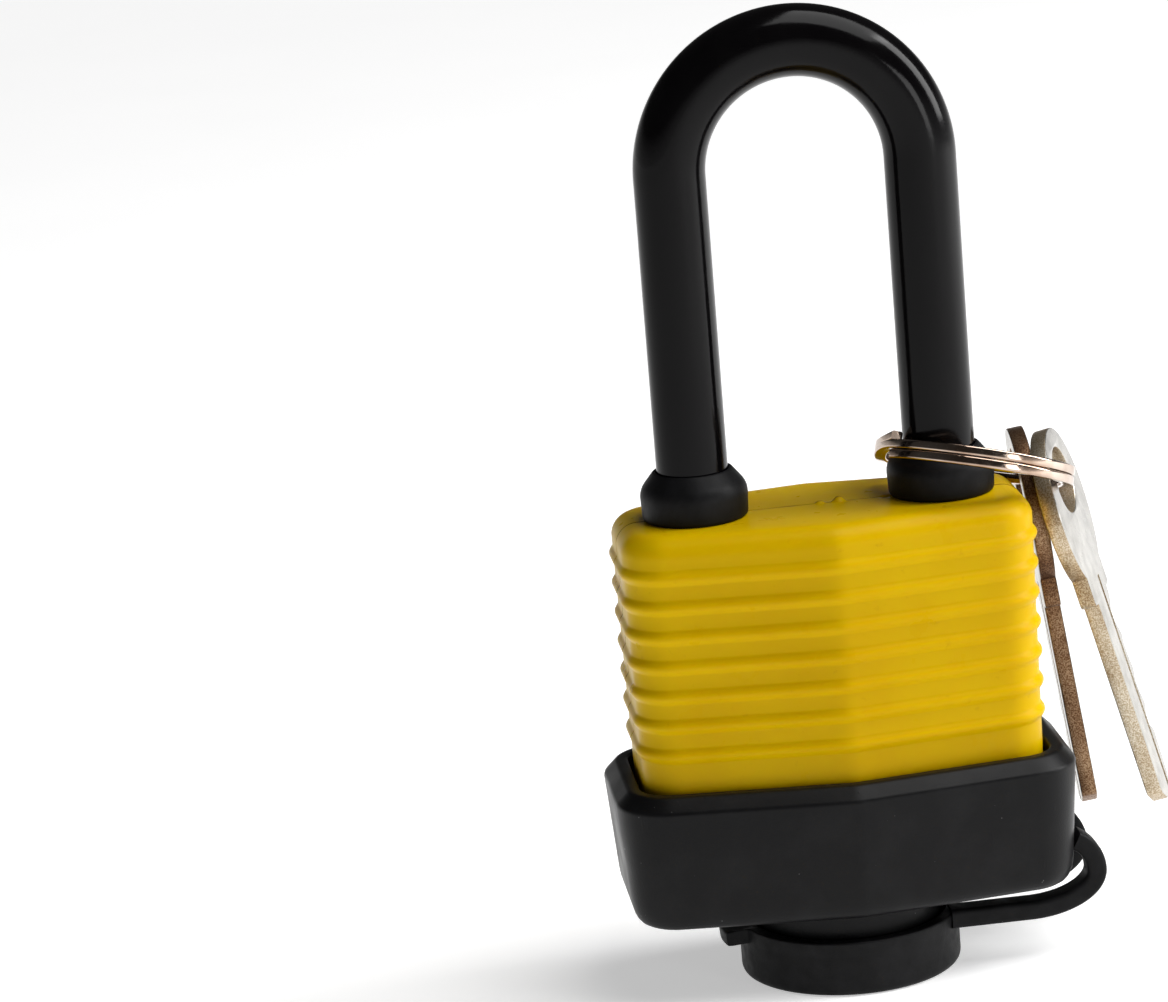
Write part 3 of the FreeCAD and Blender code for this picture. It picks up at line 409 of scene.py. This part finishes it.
# wall rows are the outline plus an offset along its normal, and the offset is the draft plus the ribs, whose
# section is a bell: a power of one less the square of the distance. The top edge is a quarter circle, the
# roof runs in to the seam, and the inner wall comes back down
def shellMesh(s, side):
    ends = np.array([0, 0.008, 0.02, 0.035, 0.06, 0.12, 0.25, 0.45, 0.7])   # columns crowd to the seam
    base, normal = halfOutline(s, ends, 16, 64)
    levels = s["ribTop"] - s["ribPitch"] * np.arange(s["ribCount"])[::-1]
    across = np.linspace(-1, 1, 15) * s["ribHalf"] * 1.05
    height = np.concatenate([[s["low"], s["low"] + 6, s["plainTop"]], (levels[:, None] + across).ravel(),
                             [s["top"] - s["edge"]]])
    away = np.abs(height[:, None] - levels[None, :]) / s["ribHalf"]
    rib = (s["ribHigh"] * np.clip(1 - away ** 2, 0, 1) ** 1.6).max(1)
    offset = s["topGrow"] - (s["top"] - height) * s["draftPerMm"] + rib
    lean = np.zeros_like(height)
    bend = np.linspace(0, np.pi / 2, 11)[1:]
    height = np.concatenate([height, s["top"] - s["edge"] * (1 - np.sin(bend))])
    offset = np.concatenate([offset, s["topGrow"] - s["edge"] * (1 - np.cos(bend))])
    lean = np.concatenate([lean, bend])
    flat = base[None] + normal[None] * offset[:, None, None]
    depth = flat[..., 1]
    fall = seamFall(s["seam"], depth)
    x = flat[..., 0] - fall * normal[:, 0] * np.cos(lean)[:, None]
    z = height[:, None] - fall * np.sin(lean)[:, None]
    wall = np.stack([x, depth, z], -1)

    edgeX, edgeY = flat[-1, :, 0], flat[-1, :, 1]
    shares = np.linspace(1, 0.16, 9)[1:]
    near = np.array([1.3, 0.95, 0.7, 0.5, 0.36, 0.25, 0.17, 0.11, 0.06, 0.02, 0])   # rows crowd to it too
    roofY = np.concatenate([edgeY * shares[:, None], np.minimum(edgeY * 0.15, near[:, None])])
    roofZ = s["top"] - seamFall(s["seam"], roofY)
    for markX, half, rise in seamMarks:
        far = np.sqrt(((edgeX - side * markX) / half) ** 2 + (roofY / (half * 0.9)) ** 2)
        roofZ = roofZ + rise * np.exp(-far ** 4)
    roof = np.stack([edgeX + 0 * roofY, roofY, roofZ], -1)

    inner = base - normal * s["wall"]
    under = s["top"] - s["roof"]
    ceilingY = inner[:, 1] * (1 - shares[:, None])
    ceilingY[0] = 0
    ceiling = np.stack([inner[:, 0] + 0 * ceilingY, ceilingY, under + 0 * ceilingY], -1)
    lining = np.stack([np.stack([*inner.T, 0 * inner[:, 0] + level], -1)
                       for level in (under, under - 12, s["low"] + 9, s["low"])])
    grid = np.concatenate([wall, roof, ceiling, lining])
    rows, columns = grid.shape[:2]
    faces = gridFaces(rows, columns, closeRows=True)
    index = np.arange(rows * columns).reshape(rows, columns)
    faces += [index[:, 0].tolist(), index[::-1, -1].tolist()]   # the two cut ends, on the seam plane
    return grid, faces


# the front shell is the rear one turned half round, with the seam's marks kept at the same places
def makeShell(name, s, side, node):
    grid, faces = shellMesh(s, side)
    mesh = makeMesh(name, grid * np.array([side, side, 1]), faces, sharp=50)
    shell = makePiece(name, mesh, "yellow", None, [node])
    for leg in (-1, 1):
        carve(shell, barMesh(s["legHole"], s["top"] - 4, s["top"] + 3, leg * s["legX"]), 50)
    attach(shell, "lock_body")


makeShell("jacketFront", jacket, -1, "shell_front")
makeShell("jacketRear", jacket, 1, "shell_rear")
print("jacket made")


cover = {
    "halfWidth": 25.5, "centreDepth": 14.9, "cornerDepth": 11.4, "cornerRadius": 6.5, "creaseRadius": 5.0,
    # corners of the section: reach outward, height, and 0 on the round neck or 1 on the six-sided cup
    "section": ((8.6, 11.0, 0), (8.6, 3.2, 0), (10.5, 3.2, 0), (10.5, 9.0, 0), (-4.4, 9.0, 1),
                (-1.18, 9.0, 1), (-0.12, 22.8, 1), (-1.6, 24.3, 1), (-2.9, 24.3, 1), (-2.9, 11.0, 1),
                (-4.6, 11.0, 1)),
    "ease": (0.2, 0.35, 0.4, 0.7, 0.0, 2.9, 0.35, 0.35, 0.3, 0.5, 0.0),
}


# each row is a ring: the six-sided outline times its share, plus the reach along the outward normal,
# whose direction swings from that of a circle to that of the outline as the share grows
def coverGrid(s):
    ends = np.array([0, 0.3, 0.65])
    point, normal = halfOutline(s, ends, 20, 20)
    point = np.concatenate([point, -point[1:-1]])
    normal = np.concatenate([normal, -normal[1:-1]])
    angle = np.arctan2(point[:, 1] * s["halfWidth"] / s["centreDepth"], point[:, 0])
    circle = np.stack([np.cos(angle), np.sin(angle)], 1)
    section = easedLine(s["section"], s["ease"], 7)
    share, reach, height = section[:, 2, None, None], section[:, 0, None, None], section[:, 1]
    flat = share * point + reach * ((1 - share) * circle + share * normal)
    return np.concatenate([flat, np.broadcast_to(height[:, None, None], (*flat.shape[:2], 1))], -1)


grid = coverGrid(cover)
faces = gridFaces(*grid.shape[:2], closeRows=True, closeColumns=True)
makePiece("bottomCover", makeMesh("bottomCover", grid, faces), "cover", "lock_body",
          ["base_cover"])
print("cover made")


cap = {
    # corners of the section: radius, height, and how much of the pull tab the corner carries
    "section": ((0, 0, 0), (12.2, 0, 0), (12.2, 4.5, 0), (12.2, 4.5, 1), (12.32, 6.2, 1), (10.9, 6.2, 0),
                (10.9, 1.5, 0), (0, 1.5, 0)),
    "ease": (0, 0.9, 0.05, 0.25, 0.35, 0.3, 0.7, 0),
    "tabReach": 2.2, "tabHalf": 2.9, "tabCorner": 0.7, "tabLow": 4.4, "tabDroop": 0.18,
    "fineHalf": 0.32, "fineGap": 0.34,   # radians each side of the tab where columns are close
}


# a revolved section, pushed out to the left by the tab: full reach inside the tab's half width, then down a
# smooth step
def capGrid(s):
    section = easedLine(s["section"], s["ease"], 7, closed=False)
    fine = np.linspace(-s["fineHalf"], s["fineHalf"], 49) + np.pi
    angles = np.concatenate([np.linspace(-np.pi + s["fineGap"], np.pi - s["fineGap"], 110), fine])
    grid = revolved(section, angles)
    step = np.clip((s["tabHalf"] + s["tabCorner"] - np.abs(grid[..., 1])) / s["tabCorner"], 0, 1)
    push = s["tabReach"] * step ** 2 * (3 - 2 * step) * (grid[..., 0] < 0) * section[:, 2, None]
    grid[..., 0] -= push
    grid[..., 2] -= s["tabDroop"] * push * (grid[..., 2] > s["tabLow"])
    return grid


grid = capGrid(cap)
faces = gridFaces(*grid.shape[:2], closeColumns=True)
makePiece("keyholeCap", makeMesh("keyholeCap", grid, faces), "rubber", "keyhole_cap",
          ["keyhole_cap"])

strap = {
    "offset": 5.0, "width": 3.0, "thick": 2.2, "ease": 0.6,
    "bend": 3.9, "bendX": 23.2, "sweep": 7.6, "run": 5.5, "startDegrees": 64.0, "capEnd": 10.6,
}


# a rounded section carried along a way in side view: a round bend out of the cover's wall, a quarter of a
# flatter ellipse that sweeps in under the cover, and a straight run to the cap
def strapGrid(s, side):
    level = s["run"] + s["bend"]
    upper = np.radians(np.linspace(s["startDegrees"], 0, 24))
    lower = np.radians(np.linspace(0, -90, 40))[1:]
    turn = np.concatenate([upper, lower])
    wide = np.where(turn >= 0, s["bend"], s["sweep"])
    furthest = s["bendX"] + s["bend"]
    bend = np.stack([furthest - wide * (1 - np.cos(turn)), level + s["bend"] * np.sin(turn)], 1)
    run = np.stack([np.linspace(bend[-1, 0], s["capEnd"], 20)[1:], np.full(19, s["run"])], 1)
    way = np.concatenate([bend, run])
    ahead = np.gradient(way, axis=0)
    ahead /= np.linalg.norm(ahead, axis=1, keepdims=True)
    out = np.stack([-ahead[:, 1], ahead[:, 0]], 1)
    half, thick = s["width"] / 2, s["thick"] / 2
    section = easedLine([(-half, -thick), (half, -thick), (half, thick), (-half, thick)], [s["ease"]] * 4, 6)
    x = way[:, 0, None] + out[:, 0, None] * section[None, :, 1]
    z = way[:, 1, None] + out[:, 1, None] * section[None, :, 1]
    y = side * s["offset"] + section[None, :, 0] + 0 * x
    return np.stack([x, y, z], -1)


for side, label in ((-1, "strapFront"), (1, "strapRear")):
    grid = strapGrid(strap, side)
    rows, columns = grid.shape[:2]
    faces = gridFaces(rows, columns, closeColumns=True)
    faces += [list(range(columns)), list(range((rows - 1) * columns, rows * columns))]
    band = makePiece(label, makeMesh(label, grid, faces), "rubber", None,
                     ["cap_strap"] if side < 0 else [])
    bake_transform(band)
print("cap and strap made")


sleeve = {
    "half": 13.56, "low": 53.2, "arcCentre": 89.7, "outer": 3.9, "inner": 3.23, "lip": 0.45,
    "innerLip": 0.15, "endRoom": 0.6,
}


# the shackle's line: up the left leg, half a turn, down the right; gives place and outward direction
def bowLine(distance, half, straight, low):
    turn = np.clip((distance - straight) / half, 0, np.pi)
    x = -half * np.cos(turn)
    z = low + straight + half * np.sin(turn)
    z = z - np.clip(straight - distance, 0, None) - np.clip(distance - straight - np.pi * half, 0, None)
    return np.stack([x, z], -1), np.stack([-np.cos(turn), np.sin(turn)], -1)


# a tube with eased ends: outer skin out along the line, inner skin back, each a circle across it
def sleeveGrid(s):
    straight = s["arcCentre"] - s["low"]
    total = 2 * straight + np.pi * s["half"]
    ends = easedLine([(0, s["inner"]), (0, s["outer"]), (total, s["outer"]), (total, s["inner"])],
                     [s["innerLip"], s["lip"], s["lip"], s["innerLip"]], 7)
    near, far = s["endRoom"], total - s["endRoom"]
    outer = np.stack([np.linspace(near, far, 240), np.full(240, s["outer"])], 1)
    inner = np.stack([np.linspace(far, near, 120), np.full(120, s["inner"])], 1)
    line = np.concatenate([ends[:14], outer, ends[14:], inner])   # 14 points round each end
    place, out = bowLine(line[:, 0], s["half"], straight, s["low"])
    angles = fullTurn(72)
    x = place[:, 0, None] + out[:, 0, None] * line[:, 1, None] * np.cos(angles)
    z = place[:, 1, None] + out[:, 1, None] * line[:, 1, None] * np.cos(angles)
    return np.stack([x, line[:, 1, None] * np.sin(angles), z], -1)


grid = sleeveGrid(sleeve)
faces = gridFaces(*grid.shape[:2], closeRows=True, closeColumns=True)
makePiece("vinylSleeve", makeMesh("vinylSleeve", grid, faces), "vinyl", "shackle",
          ["shackle_sleeve"])

collar = {
    "section": ((4.0, 50.4), (4.9, 50.4), (4.9, 52.5), (5.75, 52.5), (5.9, 55.8), (4.3, 57.8), (4.0, 57.8)),
    "ease": (0.1, 0.1, 0.1, 0.5, 0.9, 0.25, 0.15),
}
for x, label, node in ((-13.56, "collarLeft", "collar_left"), (13.56, "collarRight", "collar_right")):
    grid = revolved(easedLine(collar["section"], collar["ease"], 7), fullTurn(128)) + np.array([x, 0, 0])
    faces = gridFaces(*grid.shape[:2], closeRows=True, closeColumns=True)
    makePiece(label, makeMesh(label, grid, faces), "rubber", "lock_body", [node])
print("sleeve and collars made")


ring = {
    "centre": (17.6, 1.5, 54.8), "fall": (0.26, 0.27), "radius": 10.3,
    "band": 1.4, "wire": 1.04, "pitch": 1.1, "ease": 0.3,
    "startDegrees": 200.0, "turns": 2.0, "stepDegrees": 50.0, "liftDegrees": 34.0, "lift": 0.9,
}


# the ring's own frame: Z square to its plane, X along the fall to the right
def ringFrame(s):
    normal = np.array([*s["fall"], 1.0])
    normal /= np.linalg.norm(normal)
    across = np.array([1.0, 0.0, -s["fall"][0]])
    across /= np.linalg.norm(across)
    return np.stack([across, np.cross(normal, across), normal])


# flat wire wound twice: the angle grows evenly, the height climbs one wire in a short smooth step, and the
# free end is sprung up by the square of the distance past where it leaves
def ringGrid(s):
    start = math.radians(s["startDegrees"])
    whole = 2 * np.pi * s["turns"]
    way = np.linspace(0, whole, 420)
    step, tip = math.radians(s["stepDegrees"]), math.radians(s["liftDegrees"])
    climb = np.clip((way - 2 * np.pi + step) / step, 0, 1)
    level = s["pitch"] * (climb ** 2 * (3 - 2 * climb) - 0.5)
    spring = np.clip((way - whole + tip) / tip, 0, 1)
    level = level + s["lift"] * spring ** 2
    half, high = s["band"] / 2, s["wire"] / 2
    section = easedLine([(-half, -high), (half, -high), (half, high), (-half, high)], [s["ease"]] * 4, 6)
    angle = start + way
    reach = s["radius"] + section[None, :, 0]
    local = np.stack([reach * np.cos(angle)[:, None], reach * np.sin(angle)[:, None],
                      level[:, None] + section[None, :, 1]], -1)
    return local @ ringFrame(s) + np.array(s["centre"])


grid = ringGrid(ring)
rows, columns = grid.shape[:2]
faces = gridFaces(rows, columns, closeColumns=True)
faces += [list(range(columns)), list(range((rows - 1) * columns, rows * columns))]
makePiece("splitRing", makeMesh("splitRing", grid, faces), "ringWire", "key_ring",
          ["key_ring"])
print("ring made")


keyShape = {
    "thick": 1.8, "bowRadius": 9.0, "neckHalf": 5.4, "neckEnd": 19.6, "bladeHalf": 3.7, "length": 43.8,
    "holeHalf": (4.7, 3.7), "holeDrop": 5.9, "wireRoom": 3.25, "bevel": 0.14,
    "cutFirst": 22.6, "cutPitch": 4.2, "cutDeep": (1.1, 0.2, 0.65, 1.1),
    "cutBase": 0.9, "cutHalf": 0.5, "crestIn": 0.5, "crestRise": 1.6, "heelRise": 2.2,
    "tipRise": 1.6, "tipIn": (2.4, 1.4),
    "grooveX": 0.9, "grooveHalf": 0.55, "grooveDeep": 0.45, "grooveStart": 17.5,
}
keyHangs = {
    # plane's place to the right, the width's heading and the lean, in degrees
    # edge: the pale lit copy for key A, and for key B the darker copy with painted shade
    "keyA": {"node": "key_a", "edge": "keyEdgeLit", "x": 27.2, "heading": 71.0, "lean": 15.0},
    "keyB": {"node": "key_b", "edge": "keyEdgeShaded", "x": 24.5, "heading": 85.0, "lean": 7.5},
}


# the outline down one side and up the other: bow circle, neck, shoulder, blade with its cuts, and tip
def keyOutline(s):
    bow, neck, blade = s["bowRadius"], s["neckHalf"], s["bladeHalf"]
    gap = math.asin(neck / bow)
    turn = np.linspace(-np.pi / 2 + gap, 1.5 * np.pi - gap, 90)
    circle = np.stack([bow * np.cos(turn), bow * np.sin(turn) - bow], 1)
    levels = s["cutFirst"] + s["cutPitch"] * np.arange(len(s["cutDeep"]))
    depth = blade - s["cutBase"] - np.array(s["cutDeep"])
    crest, rise, wide = blade - s["crestIn"], s["crestRise"], s["cutHalf"]
    teeth = np.stack([np.stack([depth, -levels - wide], 1), np.stack([depth, -levels + wide], 1),
                      np.stack([0 * depth + crest, -levels + rise], 1)], 1)[::-1].reshape(-1, 2)
    tip = -s["length"]
    left = [(-neck, -s["neckEnd"]), (-blade, -s["neckEnd"]), (-blade, tip + s["tipRise"]),
            (-blade + s["tipIn"][0], tip), (blade - s["tipIn"][1], tip), (crest, -levels[-1] - rise)]
    right = [(blade, -levels[0] + s["heelRise"]), (blade, -s["neckEnd"]), (neck, -s["neckEnd"])]
    reach = [0, 0.8, 0.5, 0.6, 0.8, 0.5, *[0.25] * (len(teeth) + 1), 0.3, 0.5, 0.8, 0]
    lower = easedLine([circle[-1], *left, *teeth, *right, circle[0]], reach, 5, closed=False)
    return np.concatenate([circle, lower[5:-5]])


# a flat curve with a hole, thickened and bevelled, becomes a mesh
def plateMesh(name, outline, hole, thick, bevel):
    curve = bpy.data.curves.new(name, "CURVE")
    curve.dimensions, curve.fill_mode = "2D", "BOTH"
    curve.extrude = (thick / 2 - bevel) * mm
    curve.bevel_depth, curve.bevel_resolution, curve.offset = bevel * mm, 2, -bevel * mm
    for line in (outline, hole):
        spline = curve.splines.new("POLY")
        spline.points.add(len(line) - 1)
        filled = np.zeros((len(line), 4))
        filled[:, :2], filled[:, 3] = line * mm, 1
        spline.points.foreach_set("co", filled.ravel())
        spline.use_cyclic_u = True
    holder = bpy.data.objects.new(name, curve)
    bpy.context.scene.collection.objects.link(holder)
    bpy.context.view_layer.update()
    mesh = bpy.data.meshes.new_from_object(holder.evaluated_get(bpy.context.evaluated_depsgraph_get()))
    bpy.data.objects.remove(holder)
    shape = bmesh.new()
    shape.from_mesh(mesh)
    bmesh.ops.remove_doubles(shape, verts=shape.verts, dist=0.002 * mm)
    bmesh.ops.recalc_face_normals(shape, faces=shape.faces)
    shape.to_mesh(mesh)
    shape.free()
    return mesh


# a long bar with sloping sides that lies in the blade's face, for its milled groove
def grooveMesh(s, side):
    level = side * s["thick"] / 2
    half, deep = s["grooveHalf"], s["grooveDeep"]
    floor = level - side * deep
    section = np.array([(-half, level + side), (-half * 0.7, floor),
                        (half * 0.7, floor), (half, level + side)]) + np.array([side * s["grooveX"], 0])
    along = np.array([-s["grooveStart"], -s["length"] - 2])
    grid = np.stack([np.broadcast_to(section[:, 0], (2, 4)), np.broadcast_to(along[:, None], (2, 4)),
                     np.broadcast_to(section[:, 1], (2, 4))], -1)
    faces = gridFaces(2, 4, closeColumns=True) + [[0, 1, 2, 3], [7, 6, 5, 4]]
    return makeMesh("grooveTool", grid, faces)


# where a key hangs: the ring's wire crosses its plane at this spot, and the key is raised so that
# the wire is inside the top of its hole
def keyPlace(hang, s, r):
    right = hang["x"] - r["centre"][0]
    back = math.sqrt(r["radius"] ** 2 - right ** 2)
    spot = np.array([hang["x"], r["centre"][1] + back,
                     r["centre"][2] - r["fall"][0] * right - r["fall"][1] * back])
    heading, lean = math.radians(hang["heading"]), math.radians(hang["lean"])
    across = np.array([math.cos(heading), math.sin(heading), 0])
    outward = np.array([math.sin(heading), -math.cos(heading), 0])
    upward = np.array([0, 0, math.cos(lean)]) - outward * math.sin(lean)
    drop = s["holeDrop"] - s["holeHalf"][1] + s["wireRoom"]
    place = np.eye(4)
    place[:3, 0], place[:3, 1], place[:3, 2] = across, upward, np.cross(across, upward)
    place[:3, 3] = (spot + upward * drop) * mm
    return Matrix(place.tolist())


# a key is cut and coloured lying flat, its edges told from its faces by their normals, and then it is hung
def makeKey(name, hang, s, r):
    angle = fullTurn(64)
    hole = np.stack([s["holeHalf"][0] * np.cos(angle), s["holeHalf"][1] * np.sin(angle) - s["holeDrop"]], 1)
    mesh = plateMesh(name, keyOutline(s), hole, s["thick"], s["bevel"])
    key = makePiece(name, mesh, "keyFace", None, [hang["node"]])
    for side in (-1, 1):
        carve(key, grooveMesh(s, side), 30)
    mesh = key.data
    mesh.materials.clear()
    mesh.materials.append(finishes["keyFace"])
    mesh.materials.append(finishes[hang["edge"]])
    facing = np.zeros(len(mesh.polygons) * 3)
    mesh.polygons.foreach_get("normal", facing)
    edge = (np.abs(facing.reshape(-1, 3)[:, 2]) < 0.35).astype(np.int32)
    mesh.polygons.foreach_set("material_index", edge)
    mesh.transform(keyPlace(hang, s, r))
    mesh.update()
    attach(key, hang["node"])


for label, hang in keyHangs.items():
    makeKey(label, hang, keyShape, ring)
print("keys made")


# finishes for the CAD parts that stay
cadFinishes = {
    "shackleSteel": ("shackle",),
    "zincSteel": ("bottom_plate", "lower_plates", "cylinder_plates", "tail_plates", "toe_plates",
                  "latch_plates", "pin_plates", "top_plate", "rivets", "heel_pin", "plug_clip", "plug_tail",
                  "locking_dog_right", "locking_dog_left"),
    "brass": ("cylinder_housing", "pin_cover", "driver_pins", "plug", "key_pins"),
    "spring": ("shackle_spring", "dog_spring", "pin_springs"),
}
for finish, names in cadFinishes.items():
    for name in names:
        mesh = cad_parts[name].data
        mesh.materials.clear()
        mesh.materials.append(finishes[finish])
print("CAD finishes set")


studio = {
    "floorHalf": 3, "floor": "#f4f4f4", "floorGlow": 0.47, "farGlow": 0.88, "sky": 0.04, "horizon": 0.6,
    # area lights: place and aim in metres, size in metres, power in watts
    "lights": (
        ("topSoftbox", (0.42, -0.12, 0.92), (0, 0, 0.04), 0.8, 0.8, 8.6),
        ("rightSoftbox", (0.75, -0.05, 0.42), (0, 0, 0.06), 0.3, 0.6, 5.6),
        ("frontFill", (0.62, -0.85, 0.16), (0, 0, 0.04), 0.25, 0.3, 1.3),
    ),
}


# the floor glows more with distance, and the room is paler at the horizon than overhead
def makeStudio(s):
    corners = np.array([(-1, -1, 0), (1, -1, 0), (1, 1, 0), (-1, 1, 0)]) * s["floorHalf"] / mm
    floorMesh = makeMesh("floor", corners, [[0, 1, 2, 3]])
    floor = bpy.data.objects.new("floor", floorMesh)
    bpy.context.scene.collection.objects.link(floor)
    material, tree, shader, place = startMaterial("paintedBoardWhite")
    tone = between(tree, grain(tree, place, 60, 2), 0.3, 0.7, 0, 1)
    tree.links.new(mixed(tree, tone, linear("#f1f1f1"), linear(s["floor"])), shader.inputs["Base Color"])
    shader.inputs["Roughness"].default_value = 0.8
    shader.inputs["Emission Color"].default_value = (1, 1, 1, 1)
    spot = addNode(tree, "VectorMath", {0: place}, operation="LENGTH").outputs["Value"]
    glow = between(tree, spot, 0.4, 1.6, s["floorGlow"], s["farGlow"])   # even white out to the horizon
    tree.links.new(glow, shader.inputs["Emission Strength"])
    floorMesh.materials.append(material)
    world = bpy.data.worlds.new("paleRoom")
    bpy.context.scene.world = world
    world.use_nodes = True
    tree, back = world.node_tree, world.node_tree.nodes["Background"]
    back.inputs["Color"].default_value = (1, 1, 1, 1)
    heading = tree.nodes.new("ShaderNodeTexCoord").outputs["Generated"]
    height = addNode(tree, "SeparateXYZ", {0: heading}).outputs["Z"]
    tree.links.new(between(tree, height, 0.02, 0.2, s["horizon"], s["sky"]), back.inputs["Strength"])
    for name, spot, aim, wide, high, power in s["lights"]:
        data = bpy.data.lights.new(name, "AREA")
        data.shape, data.size, data.size_y, data.energy = "RECTANGLE", wide, high, power
        light = bpy.data.objects.new(name, data)
        away = Vector(spot) - Vector(aim)
        light.matrix_world = Matrix.Translation(spot) @ away.to_track_quat("Z", "Y").to_matrix().to_4x4()
        bpy.context.scene.collection.objects.link(light)


makeStudio(studio)
